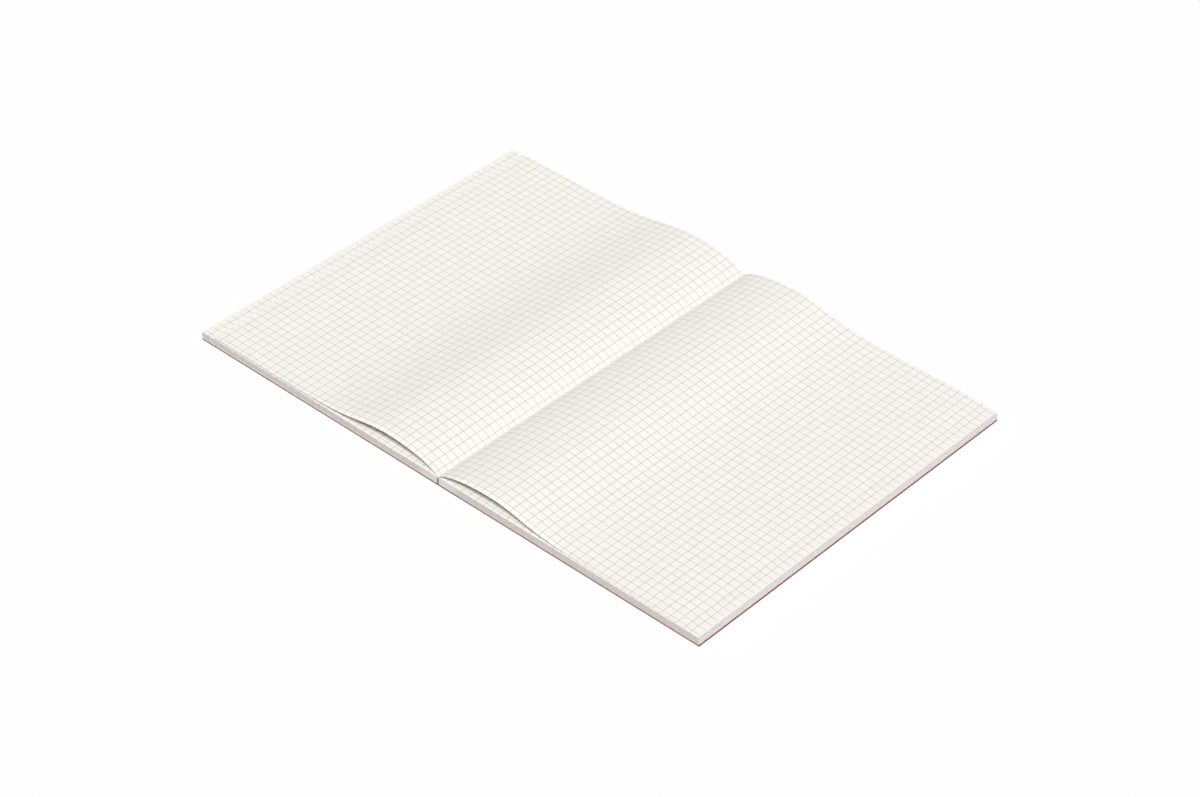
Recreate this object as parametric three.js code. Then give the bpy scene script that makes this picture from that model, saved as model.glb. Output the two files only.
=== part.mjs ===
// An open, soft-cover notebook with square-ruled pages, lying on its covers and opened at its middle.
// Millimetres, +Z up. X runs across the two pages, Y runs along the gutter from the foot of the pages
// to their head, and the origin is under the middle of the gutter, on the surface it lies on.
import * as THREE from "three";

// Pages and covers.
const pageWidth = 182;
const pageHeight = 257;
const sheetThickness = 0.096;
const sheetsPerSection = 7;
const sectionsPerHalf = 3;
const coverThickness = 0.7;
const endpaperThickness = 0.1;

// Binding tape and glue on the spine.
const tapeThickness = 0.3;
const tapeWingWidth = 13;
const tapeWingClearance = 0.1;
const glueThickness = 0.1;

// Folded edge of a section, and the sewing thread inside each fold.
const foldRounding = 0.5;
const foldSteps = 5;
const threadDiameter = 0.28;
const threadClearance = 0.01;
const threadSides = 8;
const threadEndMargin = 15;

// The two raised leaves: an arch beside the gutter, then a nearly flat stretch. Their fore-edges lie
// in from the block's.
const leafRootDistance = 0.5;
const leafRootLift = 0.1;
const leafForeEdgeInset = 9.1;
const archCrestDistance = 38;
const archHeight = 9.05;
const archFallDistance = 33.5;
const archFootDistance = 120;
const archSteepness = 0.65;
const leafFloat = 1.1;
const leafSteps = 56;
const leafStepCrowding = 1.6;

// Levels and distances that follow from the sizes above.
const leavesPerSheet = 2;
const sectionThickness = sheetsPerSection * leavesPerSheet * sheetThickness;
const middleBundleThickness = (sheetsPerSection - 1) * sheetThickness;
const spineDistance = tapeThickness + glueThickness;
const foreEdgeDistance = spineDistance + pageWidth;
const leafReach = foreEdgeDistance - leafForeEdgeInset;
const blockBottom = coverThickness + endpaperThickness;
const middleBundleBottom = blockBottom + sectionsPerHalf * sectionThickness;
const blockTop = middleBundleBottom + middleBundleThickness;
const closedGap = threadDiameter + 2 * threadClearance;
const gutterAxisHeight = blockTop + closedGap / 2;
const threadSeatHalf = threadDiameter / 2 + threadClearance;
const threadDistance = spineDistance + sheetsPerSection * sheetThickness + threadSeatHalf;

const right = 1;
const left = -1;

const cardRed = new THREE.MeshStandardMaterial({ color: 0x97302e, roughness: 0.62, metalness: 0 });
const pagePaper = new THREE.MeshStandardMaterial({ color: 0xf6f2ea, roughness: 0.9, metalness: 0 });
const liningPaper = new THREE.MeshStandardMaterial({ color: 0xefe9dd, roughness: 0.9, metalness: 0 });
const blackCloth = new THREE.MeshStandardMaterial({ color: 0x262628, roughness: 0.85, metalness: 0 });
const driedGlue = new THREE.MeshStandardMaterial({ color: 0xdcd3bd, roughness: 0.5, metalness: 0 });
const whiteThread = new THREE.MeshStandardMaterial({ color: 0xf2efe8, roughness: 0.8, metalness: 0 });

// Everything is a cross-section in the (x, z) plane, drawn as a Shape and run along the gutter.
// This group stands the cross-sections up, so that a shape's second coordinate is height.
const notebook = new THREE.Group();
const sections = new THREE.Group();
sections.rotation.x = Math.PI / 2;
sections.position.y = pageHeight / 2;
notebook.add(sections);

function addPiece(name, outline, material, { length = pageHeight, start = 0, hole = null } = {}) {
  const shape = new THREE.Shape(outline);
  if (hole) {
    // Both are drawn the same way round, and a hole has to run against its outline.
    shape.holes.push(new THREE.Path(hole.reverse()));
  }
  const geometry = new THREE.ExtrudeGeometry(shape, { depth: length, bevelEnabled: false });
  const piece = new THREE.Mesh(geometry, material);
  piece.name = name;
  piece.position.z = start;
  sections.add(piece);
  return piece;
}

// Points are given as [distance from the gutter, height] and laid out on one side of it.
function outlineOn(side, points) {
  return points.map(([distance, height]) => new THREE.Vector2(side * distance, height));
}

function slab(side, near, far, bottom, top) {
  return outlineOn(side, [
    [near, bottom],
    [far, bottom],
    [far, top],
    [near, top],
  ]);
}

// A card cover is as large as the pages. A shallow step along the spine edge holds the tape's wing,
// so that cover and tape lie flush underneath.
function coverOutline(side) {
  const stepEnd = tapeThickness + tapeWingWidth + tapeWingClearance;
  return outlineOn(side, [
    [stepEnd, 0],
    [foreEdgeDistance, 0],
    [foreEdgeDistance, coverThickness],
    [spineDistance, coverThickness],
    [spineDistance, tapeThickness],
    [stepEnd, tapeThickness],
  ]);
}

// A section is a bundle of nested, folded sheets. Its folded edge, at the spine, is rounded.
function sectionOutline(side, bottom, top) {
  const round = (height, startAngle) =>
    Array.from({ length: foldSteps + 1 }, (_, i) => {
      const angle = startAngle + ((Math.PI / 2) * i) / foldSteps;
      return [
        spineDistance + foldRounding * (1 + Math.cos(angle)),
        height + foldRounding * Math.sin(angle),
      ];
    });
  return outlineOn(side, [
    [foreEdgeDistance, bottom],
    [foreEdgeDistance, top],
    ...round(top - foldRounding, Math.PI / 2),
    ...round(bottom + foldRounding, Math.PI),
  ]);
}

// Inside the fold of the innermost sheet a narrow channel is left for the thread.
function threadChannel(side, middle) {
  const [near, far] = [threadDistance - threadSeatHalf, threadDistance + threadSeatHalf];
  return slab(side, near, far, middle - threadSeatHalf, middle + threadSeatHalf);
}

function threadOutline(x, height) {
  const radius = threadDiameter / 2;
  return Array.from({ length: threadSides }, (_, i) => {
    const angle = ((i + 0.5) / threadSides) * 2 * Math.PI;
    return new THREE.Vector2(x + radius * Math.cos(angle), height + radius * Math.sin(angle));
  });
}

function addThread(name, x, height) {
  const length = pageHeight - 2 * threadEndMargin;
  addPiece(name, threadOutline(x, height), whiteThread, { length, start: threadEndMargin });
}

// Height of a raised leaf's underside above the block: a steep rise to the crest, a bell-shaped fall
// to the foot of the arch, and then level at the height where the leaf floats.
function leafHeight(distance) {
  if (distance < archCrestDistance) {
    const share = (distance - leafRootDistance) / (archCrestDistance - leafRootDistance);
    const rise = Math.sin((Math.PI / 2) * Math.max(share, 0) ** archSteepness);
    return leafRootLift + (archHeight - leafRootLift) * rise;
  }
  if (distance < archFootDistance) {
    const fall = Math.exp(-(((distance - archCrestDistance) / archFallDistance) ** 2));
    return leafFloat + (archHeight - leafFloat) * fall;
  }
  return leafFloat;
}

// The leaf's outline runs out along its underside and back along its top, one sheet thick.
// The steps are crowded towards the gutter, where the leaf bends most.
function leafOutline(side) {
  const line = Array.from({ length: leafSteps + 1 }, (_, i) => {
    const distance =
      leafRootDistance + (leafReach - leafRootDistance) * (i / leafSteps) ** leafStepCrowding;
    return new THREE.Vector2(distance, blockTop + leafHeight(distance));
  });
  const top = line.map((point, i) => {
    const before = line[Math.max(i - 1, 0)];
    const after = line[Math.min(i + 1, leafSteps)];
    const along = after.clone().sub(before).normalize();
    return point.clone().add(new THREE.Vector2(-along.y, along.x).multiplyScalar(sheetThickness));
  });
  return outlineOn(
    side,
    [...line, ...top.reverse()].map((point) => [point.x, point.y]),
  );
}

// Levels between the whole sections, counted up from the endpaper.
const sectionLevels = Array.from(
  { length: sectionsPerHalf + 1 },
  (_, i) => blockBottom + i * sectionThickness,
);

// Each half is built alike on its own side: cover, endpaper, tape, glue, whole sections, middle bundle.
function addHalf(side, cover, outermostSection, middle) {
  addPiece(`${cover}_cover`, coverOutline(side), cardRed);
  addPiece(
    `${cover}_endpaper`,
    slab(side, spineDistance, foreEdgeDistance, coverThickness, blockBottom),
    liningPaper,
  );
  addPiece(
    `${cover}_tape_wing`,
    slab(side, tapeThickness, tapeThickness + tapeWingWidth, 0, tapeThickness),
    blackCloth,
  );
  addPiece(`${cover}_tape_spine`, slab(side, 0, tapeThickness, 0, blockTop), blackCloth);
  addPiece(
    `${cover}_spine_glue`,
    slab(side, tapeThickness, spineDistance, blockBottom, blockTop),
    driedGlue,
  );
  for (let i = 0; i < sectionsPerHalf; i++) {
    const number = outermostSection + side * -i;
    const [bottom, top] = [sectionLevels[i], sectionLevels[i + 1]];
    const middleHeight = (bottom + top) / 2;
    addPiece(`section_${number}`, sectionOutline(side, bottom, top), pagePaper, {
      hole: threadChannel(side, middleHeight),
    });
    addThread(`thread_${number}`, side * threadDistance, middleHeight);
  }
  addPiece(
    `middle_section_${middle}_leaves`,
    slab(side, spineDistance, foreEdgeDistance, sectionLevels[sectionsPerHalf], blockTop),
    pagePaper,
  );
  addPiece(`raised_${middle}_leaf`, leafOutline(side), pagePaper);
}

// The sections are numbered from the front cover to the back cover, and the middle one is open.
const firstSection = 1;
const middleSection = firstSection + sectionsPerHalf;
const lastSection = middleSection + sectionsPerHalf;
addHalf(left, "front", firstSection, "left");
addHalf(right, "back", lastSection, "right");

// The middle section's thread lies in the open centre fold, on the line that the notebook shuts about.
addThread(`thread_${middleSection}`, 0, gutterAxisHeight);

export default notebook;
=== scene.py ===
import math
import random

import bmesh
import bpy
import numpy as np
from mathutils import Matrix, Vector


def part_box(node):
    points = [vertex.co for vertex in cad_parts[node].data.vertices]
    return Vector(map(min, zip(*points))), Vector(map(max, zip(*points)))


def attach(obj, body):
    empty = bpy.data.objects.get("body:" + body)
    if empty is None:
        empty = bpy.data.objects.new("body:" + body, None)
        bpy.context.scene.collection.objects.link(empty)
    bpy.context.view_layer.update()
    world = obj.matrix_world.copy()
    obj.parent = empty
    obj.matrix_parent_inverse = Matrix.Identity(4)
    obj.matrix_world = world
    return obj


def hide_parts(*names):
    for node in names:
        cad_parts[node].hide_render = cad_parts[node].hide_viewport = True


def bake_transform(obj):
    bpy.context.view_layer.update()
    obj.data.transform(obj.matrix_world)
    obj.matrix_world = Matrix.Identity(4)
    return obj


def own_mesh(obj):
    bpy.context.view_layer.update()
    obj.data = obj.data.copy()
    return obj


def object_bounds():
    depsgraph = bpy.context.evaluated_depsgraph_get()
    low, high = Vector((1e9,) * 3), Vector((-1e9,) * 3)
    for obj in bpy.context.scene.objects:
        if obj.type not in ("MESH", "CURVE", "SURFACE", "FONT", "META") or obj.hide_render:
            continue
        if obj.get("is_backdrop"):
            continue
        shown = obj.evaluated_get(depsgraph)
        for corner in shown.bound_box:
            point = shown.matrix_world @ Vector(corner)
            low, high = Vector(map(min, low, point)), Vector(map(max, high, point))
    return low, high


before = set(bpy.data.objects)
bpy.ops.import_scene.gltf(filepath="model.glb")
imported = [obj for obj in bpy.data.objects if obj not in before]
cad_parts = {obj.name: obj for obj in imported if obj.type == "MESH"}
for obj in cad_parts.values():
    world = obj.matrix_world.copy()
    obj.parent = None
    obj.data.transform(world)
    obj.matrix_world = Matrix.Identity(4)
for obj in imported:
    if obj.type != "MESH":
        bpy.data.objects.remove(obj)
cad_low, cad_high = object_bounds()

# Camera. It looks down on the open notebook from beyond its lower right corner, through a long
# lens, and leans a few degrees to one side.
mm = 0.001
scene = bpy.context.scene
scene.view_settings.view_transform = "Standard"
camera_azimuth = math.radians(39.386)
camera_elevation = math.radians(38.305)
camera_lean = math.radians(3.236)
camera_distance = 1880.0 * mm
camera_aside = 1.85 * mm
camera_raised = -10.49 * mm

camera_data = bpy.data.cameras.new("camera")
camera_data.sensor_width = 36
camera_data.lens = 101.06
camera_data.clip_start = 0.05
camera_data.clip_end = 100
back = Vector((
    math.sin(camera_azimuth) * math.cos(camera_elevation),
    -math.cos(camera_azimuth) * math.cos(camera_elevation),
    math.sin(camera_elevation),
))
level = Vector((math.cos(camera_azimuth), math.sin(camera_azimuth), 0))
upright = back.cross(level)
aside = level * math.cos(camera_lean) + upright * math.sin(camera_lean)
above = upright * math.cos(camera_lean) - level * math.sin(camera_lean)
camera = bpy.data.objects.new("camera", camera_data)
scene.collection.objects.link(camera)
place = back * camera_distance + aside * camera_aside + above * camera_raised
camera.matrix_world = Matrix.Translation(place) @ Matrix((aside, above, back)).transposed().to_4x4()
scene.camera = camera


# Studio. A wide pale floor, a soft, distant lamp at the front and a weak, broad one behind, and an even
# glow from all round. Past the floor everything is plain white.
glow_strength = 0.17
lamps = {
    "front_lamp": {"strength": 3.09, "width": 15, "place": Vector((0.38, -0.62, 1.0))},
    "back_lamp": {"strength": 0.50, "width": 60, "place": Vector((-0.25, 1.0, 0.35))},
}
floor_size = 16
floor_clearance = 0.02 * mm
floor_whiteness = 0.6
floor_seen = (0.96, 0.96, 0.96, 1)
floor_glow = (0.52, 0.52, 0.515, 1)


def node(tree, kind, inputs=None, **settings):
    """Adds a shader node. An input is another node's output, or a value for its own socket."""
    made = tree.nodes.new("ShaderNode" + kind)
    for key, value in settings.items():
        setattr(made, key, value)
    for key, value in (inputs or {}).items():
        if isinstance(value, bpy.types.NodeSocket):
            tree.links.new(value, made.inputs[key])
        else:
            made.inputs[key].default_value = value
    return made


def maths(tree, operation, first, second=0.0):
    return node(tree, "Math", {0: first, 1: second}, operation=operation).outputs[0]


def seen_directly(tree):
    """1 for what the camera sees directly, or in a gloss or through glass."""
    path = node(tree, "LightPath").outputs
    mirrored = maths(tree, "MAXIMUM", path["Is Glossy Ray"], path["Is Transmission Ray"])
    return maths(tree, "MAXIMUM", path["Is Camera Ray"], mirrored)


world = bpy.data.worlds.new("studio")
scene.world = world
world.use_nodes = True
tree = world.node_tree
tree.nodes.clear()
glow = node(tree, "Background", {"Strength": glow_strength, "Color": (1, 1, 1, 1)})
white = node(tree, "Background", {"Strength": 1.0, "Color": (1, 1, 1, 1)})
chosen = node(tree, "MixShader", {0: seen_directly(tree), 1: glow.outputs[0], 2: white.outputs[0]})
node(tree, "OutputWorld", {"Surface": chosen.outputs[0]})

for name, look in lamps.items():
    lamp_data = bpy.data.lights.new(name, "SUN")
    lamp_data.energy = look["strength"]
    lamp_data.angle = math.radians(look["width"])
    lamp = bpy.data.objects.new(name, lamp_data)
    lamp.rotation_euler = look["place"].to_track_quat("Z", "Y").to_euler()
    scene.collection.objects.link(lamp)

shape = bmesh.new()
bmesh.ops.create_grid(shape, x_segments=1, y_segments=1, size=floor_size / 2)
bmesh.ops.translate(shape, verts=shape.verts, vec=(0, 0, cad_low.z - floor_clearance))
floor_mesh = bpy.data.meshes.new("floor")
shape.to_mesh(floor_mesh)
shape.free()
floor = bpy.data.objects.new("floor", floor_mesh)
scene.collection.objects.link(floor)
floor_paint = bpy.data.materials.new("pale_floor")
floor_paint.use_nodes = True
tree = floor_paint.node_tree
tree.nodes.clear()
dull = node(tree, "BsdfDiffuse", {"Color": floor_glow})
pale = node(tree, "BsdfDiffuse", {"Color": floor_seen})
plain = node(tree, "Emission", {"Color": (1, 1, 1, 1), "Strength": 1.0})
whiter = node(tree, "MixShader", {0: floor_whiteness, 1: pale.outputs[0], 2: plain.outputs[0]})
chosen = node(tree, "MixShader", {0: seen_directly(tree), 1: dull.outputs[0], 2: whiter.outputs[0]})
node(tree, "OutputMaterial", {"Surface": chosen.outputs[0]})
floor_mesh.materials.append(floor_paint)
floor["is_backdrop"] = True


# Covers. Each is one sheet of dyed card, the back one cut a little wider. A shallow step is pressed
# along its spine edge, underneath, where the wing of the tape is glued down with black glue that has
# soaked into the card there. The cut edges are a little rubbed.
cover_edge_softness = 0.03 * mm
corner_angle = math.radians(40)
wing_clearance = 0.1 * mm
card_red = (0.245, 0.015, 0.013, 1)
card_red_shade = (0.215, 0.013, 0.011, 1)
card_red_rubbed = (0.31, 0.036, 0.031, 1)
card_blackened = (0.020, 0.016, 0.016, 1)
rubbed_width = 0.7 * mm
rubbed_share = 0.15
card_grain = 0.5 * mm
card_grain_depth = 0.03 * mm
card_cloud = 14 * mm
extra_width = {"front": 0.0, "back": 0.45 * mm}
sides = {"front": -1, "back": 1}
foot, head = cad_low.y, cad_high.y


def extent(name):
    """Nearest and farthest distance from the gutter, and lowest and highest point, of a CAD piece."""
    low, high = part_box(name)
    near, far = sorted((abs(low.x), abs(high.x)))
    return near, far, low.z, high.z


def along_gutter(outline, start=foot, end=head):
    """A solid with this outline, given as points (x, z), from start to end along the gutter."""
    solid = bmesh.new()
    cap = solid.faces.new([solid.verts.new((x, start, z)) for x, z in outline])
    grown = bmesh.ops.extrude_face_region(solid, geom=[cap])["geom"]
    moved = [item for item in grown if isinstance(item, bmesh.types.BMVert)]
    bmesh.ops.translate(solid, verts=moved, vec=(0, end - start, 0))
    bmesh.ops.recalc_face_normals(solid, faces=solid.faces)
    return solid


def soften_edges(solid, width, segments=2):
    """Takes the sharpness off every outside corner edge."""
    sharp = [e for e in solid.edges if e.is_manifold and e.calc_face_angle_signed() > corner_angle]
    bmesh.ops.bevel(
        solid, geom=sharp, offset=width, offset_type="OFFSET", affect="EDGES",
        segments=segments, profile=0.5, material=-1, clamp_overlap=True,
    )


def finished(name, solid, materials, body, replaced=()):
    """Makes the solid an object that rides on a body and stands for the CAD pieces it replaces."""
    mesh = bpy.data.meshes.new(name)
    solid.to_mesh(mesh)
    solid.free()
    for material in materials:
        mesh.materials.append(material)
    made = bpy.data.objects.new(name, mesh)
    scene.collection.objects.link(made)
    if body:
        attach(made, body)
    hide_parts(*replaced)
    return made


def plain_material(name, roughness, specular):
    """An empty material with its shader. Returns the material, its node tree and the shader."""
    material = bpy.data.materials.new(name)
    material.use_nodes = True
    tree = material.node_tree
    tree.nodes.clear()
    shader = node(tree, "BsdfPrincipled", {"Roughness": roughness, "Specular IOR Level": specular})
    node(tree, "OutputMaterial", {"Surface": shader.outputs[0]})
    return material, tree, shader


def blended(tree, share, first, second):
    mix = node(tree, "Mix", {0: share, 6: first, 7: second}, data_type="RGBA")
    return mix.outputs[2]


def between(tree, value, low, high, at_low=0.0, at_high=1.0):
    """Ramps from at_low to at_high as the value goes from low to high."""
    ramp = node(tree, "MapRange", {
        "Value": value, "From Min": low, "From Max": high, "To Min": at_low, "To Max": at_high,
    })
    return ramp.outputs[0]


def speckle(tree, position, size, detail=3.0):
    """Noise from 0 to 1 whose blotches are about this large."""
    noise = node(tree, "TexNoise", {"Vector": position, "Scale": 1 / size, "Detail": detail})
    return noise.outputs[0]


def roughen(tree, shader, height, depth):
    bump = node(tree, "Bump", {"Height": height, "Distance": depth, "Strength": 1.0})
    tree.links.new(bump.outputs[0], shader.inputs["Normal"])


red_card, tree, shader = plain_material("red_card", roughness=0.55, specular=0.35)
position = node(tree, "TexCoord").outputs["Object"]
x, y, _ = node(tree, "SeparateXYZ", {0: position}).outputs
grain = speckle(tree, position, card_grain, 6.0)
cloud = speckle(tree, position, card_cloud)
edge_x = between(tree, maths(tree, "ABSOLUTE", x), cad_high.x - rubbed_width, cad_high.x)
edge_y = between(tree, maths(tree, "ABSOLUTE", y), cad_high.y - rubbed_width, cad_high.y)
rubbing = maths(tree, "MAXIMUM", edge_x, edge_y)
rubbing = maths(tree, "MULTIPLY", rubbing, between(tree, grain, 0.35, 0.75, 0.0, rubbed_share))
tint = blended(tree, between(tree, cloud, 0.3, 0.7), card_red, card_red_shade)
tint = blended(tree, rubbing, tint, card_red_rubbed)
tape_end = extent("front_tape_wing")[1] + wing_clearance
beside_tape = between(tree, maths(tree, "ABSOLUTE", x), tape_end, tape_end + wing_clearance, 1.0, 0.0)
tree.links.new(blended(tree, beside_tape, tint, card_blackened), shader.inputs[0])
roughen(tree, shader, grain, card_grain_depth)

for cover, side in sides.items():
    near, far, bottom, top = extent(f"{cover}_cover")
    _, wing_far, _, wing_top = extent(f"{cover}_tape_wing")
    step_end = wing_far + wing_clearance
    far += extra_width[cover]
    outline = [
        (step_end, bottom), (far, bottom), (far, top),
        (near, top), (near, wing_top), (step_end, wing_top),
    ]
    solid = along_gutter([(side * x, z) for x, z in outline])
    soften_edges(solid, cover_edge_softness)
    finished(f"{cover}_cover_card", solid, [red_card], f"{cover}_cover_board",
             [f"{cover}_cover"])


# Binding tape. One strip of black cloth, glued under both covers and up over the spine of each half.
# With the notebook open it is folded back on itself in the gutter, outer face to outer face.
cloth_crevice = 0.02 * mm
tape_fold_top = 0.10 * mm
tape_fold_thickness = 0.08 * mm
tape_bend = 0.1 * mm
tape_fold_steps = 12
weave_pitch = 0.42 * mm
weave_depth = 0.05 * mm
weave_level = 0.65
weave_swing = 0.35
fluff_size = 0.15 * mm
fluff_share = 0.3
cloth_dark = (0.008, 0.008, 0.009, 1)
cloth_light = (0.034, 0.034, 0.037, 1)

black_cloth, tree, shader = plain_material("black_cloth", roughness=0.82, specular=0.25)
position = node(tree, "TexCoord").outputs["Object"]
x, y, z = node(tree, "SeparateXYZ", {0: position}).outputs
weft = maths(tree, "MULTIPLY", maths(tree, "ADD", x, z), math.pi / weave_pitch)
warp = maths(tree, "MULTIPLY", y, math.pi / weave_pitch)
weft_wave = maths(tree, "SINE", weft)
warp_wave = maths(tree, "SINE", warp)
over_weft = maths(tree, "ADD", maths(tree, "MULTIPLY", warp_wave, weave_swing), weave_level)
over_warp = maths(tree, "ADD", maths(tree, "MULTIPLY", weft_wave, -weave_swing), weave_level)
threads_across = maths(tree, "MULTIPLY", maths(tree, "ABSOLUTE", weft_wave), over_weft)
threads_along = maths(tree, "MULTIPLY", maths(tree, "ABSOLUTE", warp_wave), over_warp)
weave = maths(tree, "MAXIMUM", threads_across, threads_along)
fluff = speckle(tree, position, fluff_size, 4.0)
# Painted shade between the threads of the weave and painted light on their tops, varied by random fluff.
weave_painted_shade_and_fluff = maths(tree, "MULTIPLY", weave, between(tree, fluff, 0.2, 0.8, 0.4, 1.0))
tree.links.new(blended(tree, weave_painted_shade_and_fluff, cloth_dark, cloth_light), shader.inputs[0])
fluffed = maths(tree, "ADD", weave, maths(tree, "MULTIPLY", fluff, fluff_share))
roughen(tree, shader, fluffed, weave_depth)


def quarter_round(centre_x, centre_z, radius, start, steps=6):
    """Points of a quarter circle, anticlockwise from the angle start, in degrees."""
    for i in range(steps + 1):
        angle = math.radians(start + 90 * i / steps)
        yield centre_x + radius * math.cos(angle), centre_z + radius * math.sin(angle)


for cover, side in sides.items():
    block = "left_block" if side < 0 else "right_block"
    _, far, bottom, top = extent(f"{cover}_tape_wing")
    bend_edge = top + tape_bend
    outline = [(bend_edge, bottom), (far, bottom), (far, top), (bend_edge, top)]
    solid = along_gutter([(side * x, z) for x, z in outline])
    soften_edges(solid, cover_edge_softness)
    finished(f"{cover}_tape_wing_cloth", solid, [black_cloth], f"{cover}_cover_board",
             [f"{cover}_tape_wing"])

    _, inner, _, tape_top = extent(f"{cover}_tape_spine")
    fold_top = tape_top - tape_fold_top
    rounding = inner - cloth_crevice
    outline = [(cloth_crevice, bend_edge), (inner, bend_edge), (inner, fold_top - rounding)]
    outline += list(quarter_round(cloth_crevice, fold_top - rounding, rounding, 0))
    solid = along_gutter([(side * x, z) for x, z in outline])
    finished(f"{cover}_tape_spine_cloth", solid, [black_cloth], block, [f"{cover}_tape_spine"])

    outer_radius = bend_edge - cloth_crevice
    outline = list(quarter_round(bend_edge, bend_edge, outer_radius, 180, 12))
    outline += list(quarter_round(bend_edge, bend_edge, tape_bend, 180, 12))[::-1]
    solid = along_gutter([(side * x, z) for x, z in outline])
    corner = finished(f"{cover}_tape_bend", solid, [black_cloth], None)
    middle = bend_edge / 2
    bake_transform(corner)

across_fold = [cloth_crevice * (1 - 2 * i / tape_fold_steps) for i in range(tape_fold_steps + 1)]
outline = [(x, fold_top) for x in across_fold]
outline += [(-x, fold_top - tape_fold_thickness) for x in across_fold]
solid = along_gutter(outline)
tape_fold = finished("tape_fold", solid, [black_cloth], None)
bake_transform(tape_fold)


# Glue. A thin film of bookbinder's glue, dried clear over the black cloth, that holds the folds of
# each half to the tape.
glue_colour = (0.26, 0.23, 0.19, 1)
glue_colour_thick = (0.15, 0.13, 0.10, 1)
glue_lump = 1.2 * mm
glue_lump_depth = 0.04 * mm


def dress(name, material):
    """Gives a CAD piece its finish. Its mesh stays as it is."""
    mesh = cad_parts[name].data
    mesh.materials.clear()
    mesh.materials.append(material)


dried_glue, tree, shader = plain_material("dried_glue", roughness=0.4, specular=0.5)
position = node(tree, "TexCoord").outputs["Object"]
lumps = speckle(tree, position, glue_lump)
thicker = between(tree, lumps, 0.35, 0.65)
tree.links.new(blended(tree, thicker, glue_colour, glue_colour_thick), shader.inputs[0])
roughen(tree, shader, lumps, glue_lump_depth)
for cover in sides:
    dress(f"{cover}_spine_glue", dried_glue)


# Endpapers. A plain sheet of cream paper, cut to the size of the pages, is pasted inside each cover
# and lies against the outermost section.
cream = (0.84, 0.79, 0.70, 1)
cream_shade = (0.79, 0.735, 0.635, 1)
cream_fibre = 0.35 * mm
cream_fibre_depth = 0.012 * mm
cream_cloud = 9 * mm

endpaper, tree, shader = plain_material("plain_endpaper", roughness=0.9, specular=0.15)
position = node(tree, "TexCoord").outputs["Object"]
fibre = speckle(tree, position, cream_fibre, 6.0)
cloud = speckle(tree, position, cream_cloud)
tree.links.new(blended(tree, between(tree, cloud, 0.3, 0.7), cream, cream_shade), shader.inputs[0])
roughen(tree, shader, fibre, cream_fibre_depth)
for cover in sides:
    dress(f"{cover}_endpaper", endpaper)


# Page paper. Smooth, slightly warm white writing paper, printed on both sides with a fine grey-green
# square ruling that runs off the head and foot and stops just short of the fore-edge.
paper_white = (0.930, 0.895, 0.854, 1)
paper_shade = (0.905, 0.869, 0.822, 1)
paper_fibre = 0.3 * mm
paper_fibre_depth = 0.008 * mm
paper_cloud = 6 * mm
ruling_ink = (0.24, 0.25, 0.235, 1)
faintest_inking = 0.80
ruling_width = 0.2 * mm
ruling_blur = 0.05 * mm
ruling_reach = 181 * mm
row_pitch = 4.944 * mm
block_first_row = foot + 2.24 * mm
block_column_pitch = 5.5 * mm
block_first_column = {"left": -1.5 * mm, "right": 0.1 * mm}


def ruled_lines(tree, distance, first, pitch):
    """1 on the printed lines that cross this direction, 0 between them."""
    aside_of_line = maths(tree, "PINGPONG", maths(tree, "SUBTRACT", distance, first), pitch / 2)
    inside, outside = (ruling_width - ruling_blur) / 2, (ruling_width + ruling_blur) / 2
    return between(tree, aside_of_line, inside, outside, 1.0, 0.0)


def page_paper(name, source, first_column, column_pitch, first_row):
    """Paper whose ruling follows the object's own position or, on a bent leaf, its flat map."""
    material, tree, shader = plain_material(name, roughness=0.88, specular=0.15)
    position = node(tree, "TexCoord").outputs[source]
    across, along, _ = node(tree, "SeparateXYZ", {0: position}).outputs
    columns = ruled_lines(tree, across, first_column, column_pitch)
    rows = ruled_lines(tree, along, first_row, row_pitch)
    fibre = speckle(tree, position, paper_fibre, 5.0)
    cloud = speckle(tree, position, paper_cloud)
    inking = between(tree, fibre, 0.2, 0.8, faintest_inking, 1.0)
    ink = maths(tree, "MULTIPLY", maths(tree, "MAXIMUM", columns, rows), inking)
    reached = maths(tree, "ABSOLUTE", across)
    printed = between(tree, reached, ruling_reach, ruling_reach + ruling_blur, 1.0, 0.0)
    ink = maths(tree, "MULTIPLY", ink, printed)
    sheet = blended(tree, between(tree, cloud, 0.3, 0.7), paper_white, paper_shade)
    tree.links.new(blended(tree, ink, sheet, ruling_ink), shader.inputs[0])
    roughen(tree, shader, fibre, paper_fibre_depth)
    return material


ruled_block = {
    half: page_paper(f"ruled_{half}_page", "Object", first, block_column_pitch, block_first_row)
    for half, first in block_first_column.items()
}


# Cut edges of the pages. The three trimmed sides show bare paper in fine layers. The head and the foot
# are painted darker than the fore-edge, as painted shade, and lighter beside the spine, as painted
# light.
# A red band just above the cover is partly dye dragged up by the knife and partly painted shade where
# the block meets the cover.
fore_edge_white = (0.950, 0.925, 0.905, 1)
fore_edge_shade = (0.925, 0.900, 0.880, 1)
# The head and foot faces are painted darker than the fore-edge: painted shade.
end_face_painted_shade = (0.660, 0.630, 0.608, 1)
end_face_painted_shade_streak = (0.643, 0.613, 0.592, 1)
# Painted light: the head and foot faces are lighter within this width of the spine.
spine_end_painted_light = (0.765, 0.747, 0.720, 1)
spine_end_width = 13 * mm
spine_end_fade = 3 * mm
end_face_depth = 0.1 * mm
# The red band above the cover: partly dye from the cover, partly painted shade where the block meets it.
fore_edge_red_trace_and_shade = (0.38, 0.14, 0.12, 1)
end_face_red_trace_and_shade = (0.25, 0.030, 0.025, 1)
red_trace_and_shade_top = 0.4 * mm
layer_streak = 0.10 * mm
layer_stretch = (0.02, 0.02, 1.0)

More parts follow.
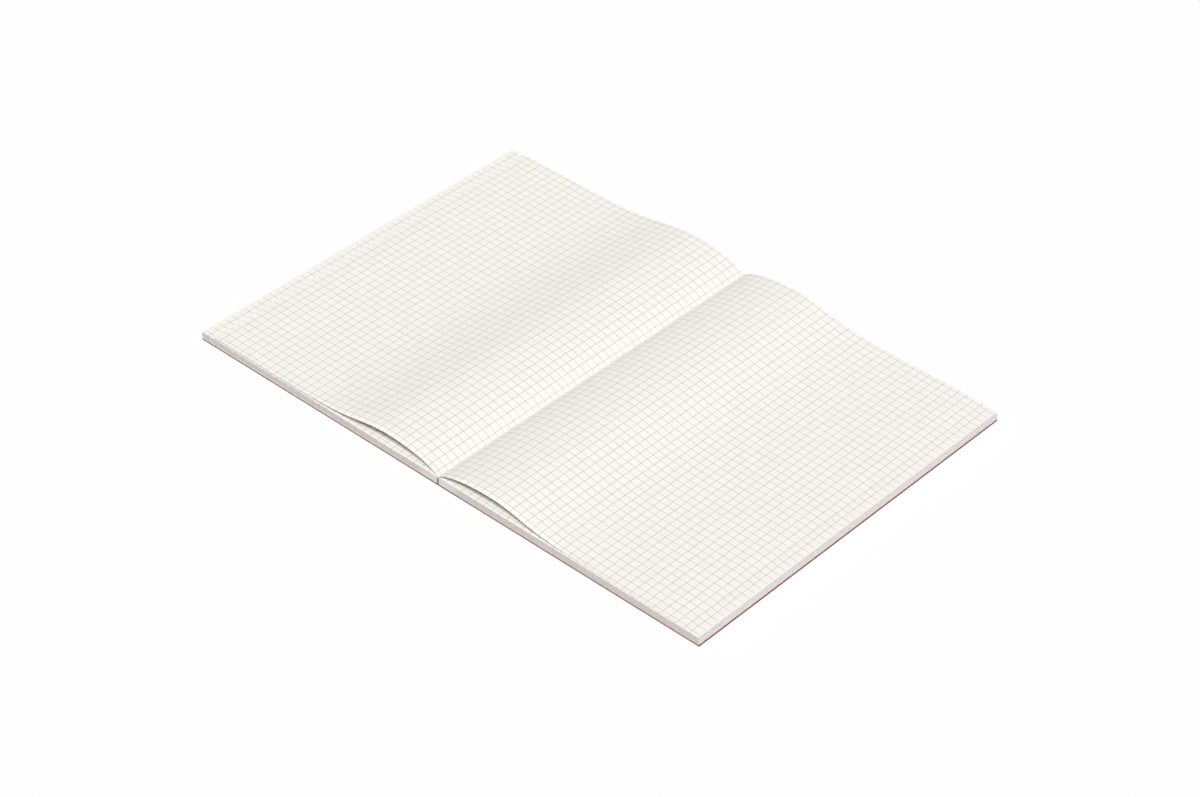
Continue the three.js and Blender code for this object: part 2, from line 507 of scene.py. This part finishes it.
cut_edge, tree, shader = plain_material("cut_paper_edge", roughness=0.92, specular=0.1)
position = node(tree, "TexCoord").outputs["Object"]
x, y, z = node(tree, "SeparateXYZ", {0: position}).outputs
stretched = node(tree, "Mapping", {0: position, "Scale": layer_stretch}).outputs[0]
streaks = between(tree, speckle(tree, stretched, layer_streak, 2.0), 0.3, 0.7)
distance = maths(tree, "ABSOLUTE", x)
past_spine_end = between(
    tree, distance, spine_end_width - spine_end_fade / 2, spine_end_width + spine_end_fade / 2,
)
# Painted shade on the head and foot faces, with painted light beside the spine.
end_face_painted_light_and_shade = blended(tree, streaks, end_face_painted_shade, end_face_painted_shade_streak)
end_face_painted_light_and_shade = blended(tree, past_spine_end, spine_end_painted_light, end_face_painted_light_and_shade)
fore_edge_paper = blended(tree, streaks, fore_edge_white, fore_edge_shade)
at_end = between(
    tree, maths(tree, "ABSOLUTE", y), cad_high.y - 2 * end_face_depth, cad_high.y - end_face_depth,
)
bare = blended(tree, at_end, fore_edge_paper, end_face_painted_light_and_shade)
lowest_sheet = extent("front_endpaper")[3]
# Partly dye, partly painted shade, fading upwards from the bottom of the block.
red_trace_and_shade_share = between(tree, z, lowest_sheet, lowest_sheet + red_trace_and_shade_top, 1.0, 0.0)
red_trace_and_shade = blended(tree, at_end, fore_edge_red_trace_and_shade, end_face_red_trace_and_shade)
tree.links.new(blended(tree, red_trace_and_shade_share, bare, red_trace_and_shade), shader.inputs[0])


# Sections. Each whole section is seven sheets folded together, one inside the other, and sewn through
# the fold. All the edges but the fold were trimmed in one cut, so they lie flush to a hair.
sheets_per_section = 7
leaf_thickness = 0.085 * mm
trim_error = 0.02 * mm
swelling_end = 4 * mm
fold_arc_steps = 8
level_enough = 0.9
fore_edge_out = {-1: 0.0, 1: 0.35 * mm}
fore_edge_lean = {-1: 0.0, 1: 0.9 * mm}
trimming = random.Random(11)
block_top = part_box("middle_section_left_leaves")[1].z


def fore_edge(side, far, height):
    """Where a leaf at this height ends. The fore-edge of the right block leans back a little."""
    lean = fore_edge_lean[side] * height / block_top
    return far + fore_edge_out[side] - lean - trimming.uniform(0, trim_error)


def folded_sheet(solid, side, near, far, middle, half, edge_offset, fold_offset):
    """Adds one sheet of a section: out along the lower leaf, round the fold, back along the upper."""
    centre = near + half
    radius = half - fold_offset
    arm = half - edge_offset
    wire = [(fore_edge(side, far, middle - arm), -arm), (swelling_end, -arm)]
    for share in (0.75, 0.5, 0.25):
        ease = share * share * (3 - 2 * share)
        wire.append((centre + (swelling_end - centre) * share, -(radius + (arm - radius) * ease)))
    lower_leaf = wire[1:]
    for i in range(fold_arc_steps + 1):
        angle = math.radians(-90 - 180 * i / fold_arc_steps)
        wire.append((centre + radius * math.cos(angle), radius * math.sin(angle)))
    wire += [(x, -z) for x, z in reversed(lower_leaf)]
    wire.append((fore_edge(side, far, middle + arm), arm))
    start = foot + trimming.uniform(0, trim_error)
    end = head - trimming.uniform(0, trim_error)
    lay_sheet(solid, [(side * x, middle + z) for x, z in wire], start, end)


def lay_sheet(solid, wire, start, end):
    """Adds a sheet one leaf thick whose cross-section follows the wire, from start to end."""
    points = [solid.verts.new((x, start, z)) for x, z in wire]
    line = [solid.edges.new(pair) for pair in zip(points, points[1:])]
    grown = bmesh.ops.extrude_edge_only(solid, edges=line)["geom"]
    moved = [item for item in grown if isinstance(item, bmesh.types.BMVert)]
    bmesh.ops.translate(solid, verts=moved, vec=(0, end - start, 0))
    ribbon = [item for item in grown if isinstance(item, bmesh.types.BMFace)]
    bmesh.ops.recalc_face_normals(solid, faces=ribbon)
    bmesh.ops.solidify(solid, geom=ribbon, thickness=leaf_thickness)


def rule_the_pages(solid):
    """Level faces are printed pages, and the rest is bare cut edge."""
    for face in solid.faces:
        face.material_index = 0 if abs(face.normal.z) > level_enough else 1


for half_name, side, numbers in (("left", -1, (1, 2, 3)), ("right", 1, (7, 6, 5))):
    for number in numbers:
        near, far, bottom, top = extent(f"section_{number}")
        middle = (top + bottom) / 2
        half = (top - bottom) / 2
        edge_pitch = half / sheets_per_section
        solid = bmesh.new()
        for sheet in range(sheets_per_section):
            folded_sheet(
                solid, side, near, far, middle, half,
                (sheet + 0.5) * edge_pitch, (sheet + 0.5) * leaf_thickness,
            )
        bmesh.ops.recalc_face_normals(solid, faces=solid.faces)
        rule_the_pages(solid)
        finished(f"section_{number}_sheets", solid, [ruled_block[half_name], cut_edge],
                 f"{half_name}_block", [f"section_{number}"])


# Middle section. The notebook lies open at its centre fold, so its six outer sheets are halved by the
# gutter. The uppermost runs on over the folded tape as far as the thread.
middle_leaves = 6
fold_reach = 0.01 * mm
for half_name, side in (("left", -1), ("right", 1)):
    near, far, bottom, top = extent(f"middle_section_{half_name}_leaves")
    pitch = (top - bottom) / middle_leaves
    solid = bmesh.new()
    for leaf in range(middle_leaves):
        height = bottom + (leaf + 0.5) * pitch
        inner = near
        if leaf == middle_leaves - 1:
            height = top - leaf_thickness / 2
            inner = fold_reach
        outer = fore_edge(side, far, height)
        start = foot + trimming.uniform(0, trim_error)
        end = head - trimming.uniform(0, trim_error)
        lay_sheet(solid, [(side * inner, height), (side * outer, height)], start, end)
    bmesh.ops.recalc_face_normals(solid, faces=solid.faces)
    rule_the_pages(solid)
    finished(f"middle_{half_name}_sheets", solid, [ruled_block[half_name], cut_edge],
             f"{half_name}_block", [f"middle_section_{half_name}_leaves"])


# Raised leaves. The two halves of the innermost sheet, which springs up beside the gutter in an arch
# and comes down to float over the page beneath until its free edge droops. Along the arch the very
# edge at its foot curls down. The right leaf lies lower, a little nearer the head.
leaf_root = 0.12 * mm
arch_start = 0.5 * mm
arch_start_lift = 0.1 * mm
arch_crest = 38 * mm
arch_height = {"left": 9.05 * mm, "right": 8.75 * mm}
arch_fall = 33.5 * mm
arch_steepness = 0.65
leaf_float = {"left": 1.1 * mm, "right": 0.6 * mm}
leaf_reach = {"left": 173.3 * mm, "right": 172.9 * mm}
droop = 0.4 * mm
droop_width = 10 * mm
foot_curl = 0.82 * mm
foot_curl_width = 2.2 * mm
foot_curl_rise = 12 * mm
foot_curl_bend = 1.3
level_start = 60 * mm
level_end = 102 * mm
level_slip = {"left": 0.0, "right": 0.5 * mm}
leaf_column_pitch = {"left": 5.415 * mm, "right": 5.23 * mm}
leaf_first_column = {"left": 4.83 * mm, "right": 1.19 * mm}
leaf_first_row = {"left": foot + 2.79 * mm, "right": foot + 2.75 * mm}
leaf_steps_across = 180
leaf_steps_along = 40
leaf_step_crowding = 1.25
foot_step_crowding = 1.8
arch_points = 2000


def smooth_step(value, start, end):
    share = min(1, max(0, (value - start) / (end - start)))
    return share * share * (3 - 2 * share)


def arch(half_name, distance):
    """Height of a raised leaf's underside above the block, this far out from the gutter."""
    crest = arch_height[half_name]
    floating = leaf_float[half_name]
    if distance < arch_start:
        return arch_start_lift * distance / arch_start
    if distance < arch_crest:
        share = (distance - arch_start) / (arch_crest - arch_start)
        rise = math.sin(math.pi / 2 * share ** arch_steepness)
        return arch_start_lift + (crest - arch_start_lift) * rise
    fall = math.exp(-((distance - arch_crest) / arch_fall) ** 2)
    free_edge = leaf_reach[half_name]
    drooped = droop * smooth_step(distance, free_edge - droop_width, free_edge)
    return floating + (crest - floating) * fall - drooped


def curled_down(distance, along):
    """How far the foot edge has curled down here. Past the arch it lies straight."""
    edge_share = max(0, 1 - (along - foot) / foot_curl_width) ** foot_curl_bend
    levelled = smooth_step(distance, level_start, level_end)
    arch_share = (1 - math.exp(-distance / foot_curl_rise)) * (1 - levelled)
    return foot_curl * edge_share * arch_share


for half_name, side in (("left", -1), ("right", 1)):
    ruled_leaf = page_paper(
        f"ruled_{half_name}_leaf", "UV", leaf_first_column[half_name], leaf_column_pitch[half_name],
        leaf_first_row[half_name],
    )
    distances = np.linspace(leaf_root, leaf_reach[half_name], arch_points)
    heights = np.array([arch(half_name, d) for d in distances])
    steps = np.hypot(np.diff(distances), np.diff(heights))
    lengths = np.concatenate(([0], np.cumsum(steps)))
    slopes = np.gradient(heights, distances)

    solid = bmesh.new()
    bmesh.ops.create_grid(solid, x_segments=leaf_steps_across, y_segments=leaf_steps_along, size=0.5)
    for vertex in solid.verts:
        vertex.co.x = lengths[-1] * (vertex.co.x + 0.5) ** leaf_step_crowding
        vertex.co.y = foot + (head - foot) * (vertex.co.y + 0.5) ** foot_step_crowding
    grown = bmesh.ops.extrude_face_region(solid, geom=solid.faces[:])["geom"]
    upper = [item for item in grown if isinstance(item, bmesh.types.BMVert)]
    bmesh.ops.translate(solid, verts=upper, vec=(0, 0, leaf_thickness))
    flat_map = solid.loops.layers.uv.new("flat_sheet")
    for vertex in solid.verts:
        distance = np.interp(vertex.co.x, lengths, distances)
        vertex.co.z -= curled_down(distance, vertex.co.y)
        vertex.co.y += level_slip[half_name] * smooth_step(distance, level_start, level_end)
    for face in solid.faces:
        for loop in face.loops:
            loop[flat_map].uv = (lengths[-1] - loop.vert.co.x, loop.vert.co.y)
    for edge in solid.edges:
        edge.smooth = edge.calc_face_angle(math.pi) < corner_angle
    for vertex in solid.verts:
        length, _, lift = vertex.co
        distance = np.interp(length, lengths, distances)
        height = np.interp(length, lengths, heights)
        tilt = math.atan(np.interp(distance, distances, slopes))
        vertex.co.x = side * (distance - lift * math.sin(tilt))
        vertex.co.z = block_top + height + lift * math.cos(tilt)
    bmesh.ops.recalc_face_normals(solid, faces=solid.faces)
    for face in solid.faces:
        face.smooth = True
    leaf = finished(f"arched_{half_name}_leaf", solid, [ruled_leaf], f"{half_name}_leaf",
                    [f"raised_{half_name}_leaf"])
    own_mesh(leaf)


# Sewing thread. Fine white thread, run through the fold of each section. The middle one shows in the
# gutter as a row of long stitches that dive through holes in the fold.
stitches = 5
stitch_gap = 2.5 * mm
stitch_radius = 0.1 * mm
stitch_taper = 18
thread_white = (0.86, 0.84, 0.79, 1)
thread_groove_painted_shade = (0.55, 0.53, 0.48, 1)
ply_pitch = 0.35 * mm
ply_slant = 0.8
ply_depth = 0.05 * mm

white_thread, tree, shader = plain_material("white_thread", roughness=0.75, specular=0.2)
position = node(tree, "TexCoord").outputs["Object"]
x, y, z = node(tree, "SeparateXYZ", {0: position}).outputs
slant = maths(tree, "ADD", y, maths(tree, "MULTIPLY", maths(tree, "ADD", x, z), ply_slant))
ply = maths(tree, "ABSOLUTE", maths(tree, "SINE", maths(tree, "MULTIPLY", slant, math.pi / ply_pitch)))
# Painted shade in the grooves between the plies.
tree.links.new(blended(tree, between(tree, ply, 0.0, 0.5), thread_groove_painted_shade, thread_white), shader.inputs[0])
roughen(tree, shader, ply, ply_depth)

low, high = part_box("thread_4")
middle_height = (low.z + high.z) / 2
pitch = (high.y - low.y + stitch_gap) / stitches
solid = bmesh.new()
for stitch in range(stitches):
    made = bmesh.ops.create_uvsphere(solid, u_segments=10, v_segments=40, radius=1.0)["verts"]
    start = low.y + stitch * pitch
    half = (pitch - stitch_gap) / 2
    for vertex in made:
        along = vertex.co.z
        girth = math.sqrt(max(1 - along * along, 0))
        ease = min(1.0, (1 - abs(along)) * stitch_taper) ** 0.5
        x, z = vertex.co.x, vertex.co.y
        scale = ease / girth if girth > 1e-6 else 0
        vertex.co.x = x * scale * stitch_radius
        vertex.co.y = start + half * (1 + along)
        vertex.co.z = middle_height + z * scale * stitch_radius
bmesh.ops.recalc_face_normals(solid, faces=solid.faces)
for face in solid.faces:
    face.smooth = True
finished("gutter_stitches", solid, [white_thread], "right_block", ["thread_4"])
for number in (1, 2, 3, 5, 6, 7):
    dress(f"thread_{number}", white_thread)

low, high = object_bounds()
